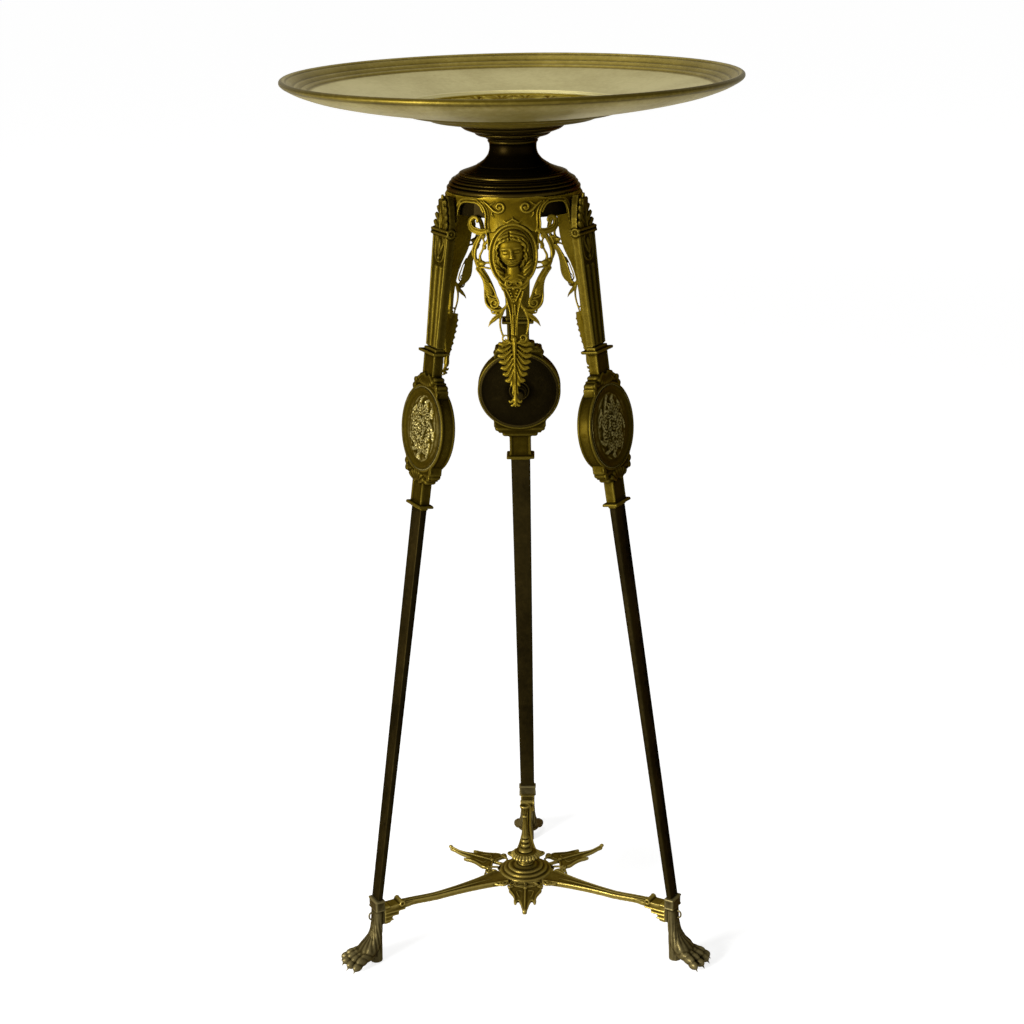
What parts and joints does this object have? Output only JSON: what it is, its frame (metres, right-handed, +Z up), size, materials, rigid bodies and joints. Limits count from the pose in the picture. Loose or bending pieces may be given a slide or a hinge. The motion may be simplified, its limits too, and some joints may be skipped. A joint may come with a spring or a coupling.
{
  "type": "tripod stand",
  "caption": "Bronze tripod stand with a round shallow dish, pierced hanging aprons, leaning drum-jointed legs, paw feet and a low star stretcher with a finial.",
  "frame": {"origin": "on the floor, at the middle of the stand's footprint, straight below the middle of the dish", "axes": "+Z up along the turned neck, +Y towards the rear leg, -Y towards the front apron, +X to the right"},
  "size_m": [0.466, 0.466, 0.95],
  "materials": {
    "olive_bronze": "antique bronze, satin",
    "dark_bronze": "dark patinated bronze",
    "pale_bronze": "pale satin bronze",
    "bright_brass": "polished brass",
    "steel": "plain steel"
  },
  "bodies": {
    "root": {"tray_dish": "pale_bronze", "tray_medallion": "pale_bronze", "tray_boss": "dark_bronze", "neck": "dark_bronze", "dome_cap": "dark_bronze", "crown_ring": "dark_bronze", "centre_bolt": "bright_brass", "centre_washer": "bright_brass", "gadroon_collar": "bright_brass", "finial": "bright_brass", "centre_nut": "steel", "hub_stud": "steel", "hub_disc": "olive_bronze", "hub_plate": "olive_bronze", "hub_nut": "olive_bronze", "apron_front": "olive_bronze", "apron_screw_front": "steel", "star_leaf_front": "olive_bronze", "apron_right": "olive_bronze", "apron_screw_right": "steel", "star_leaf_right": "olive_bronze", "apron_left": "olive_bronze", "apron_screw_left": "steel", "star_leaf_left": "olive_bronze", "upper_bar_rear": "olive_bronze", "drum_rear": "olive_bronze", "drum_medallion_rear": "olive_bronze", "paw_foot_rear": "olive_bronze", "stretcher_arm_rear": "olive_bronze", "drum_back_rear": "dark_bronze", "knob_nut_rear": "dark_bronze", "lower_shaft_rear": "dark_bronze", "crown_screw_rear": "steel", "arm_stud_rear": "steel", "upper_bar_left": "olive_bronze", "drum_left": "olive_bronze", "drum_medallion_left": "olive_bronze", "paw_foot_left": "olive_bronze", "stretcher_arm_left": "olive_bronze", "drum_back_left": "dark_bronze", "knob_nut_left": "dark_bronze", "lower_shaft_left": "dark_bronze", "crown_screw_left": "steel", "arm_stud_left": "steel", "upper_bar_right": "olive_bronze", "drum_right": "olive_bronze", "drum_medallion_right": "olive_bronze", "paw_foot_right": "olive_bronze", "stretcher_arm_right": "olive_bronze", "drum_back_right": "dark_bronze", "knob_nut_right": "dark_bronze", "lower_shaft_right": "dark_bronze", "crown_screw_right": "steel", "arm_stud_right": "steel"}
  },
  "joints": []
}
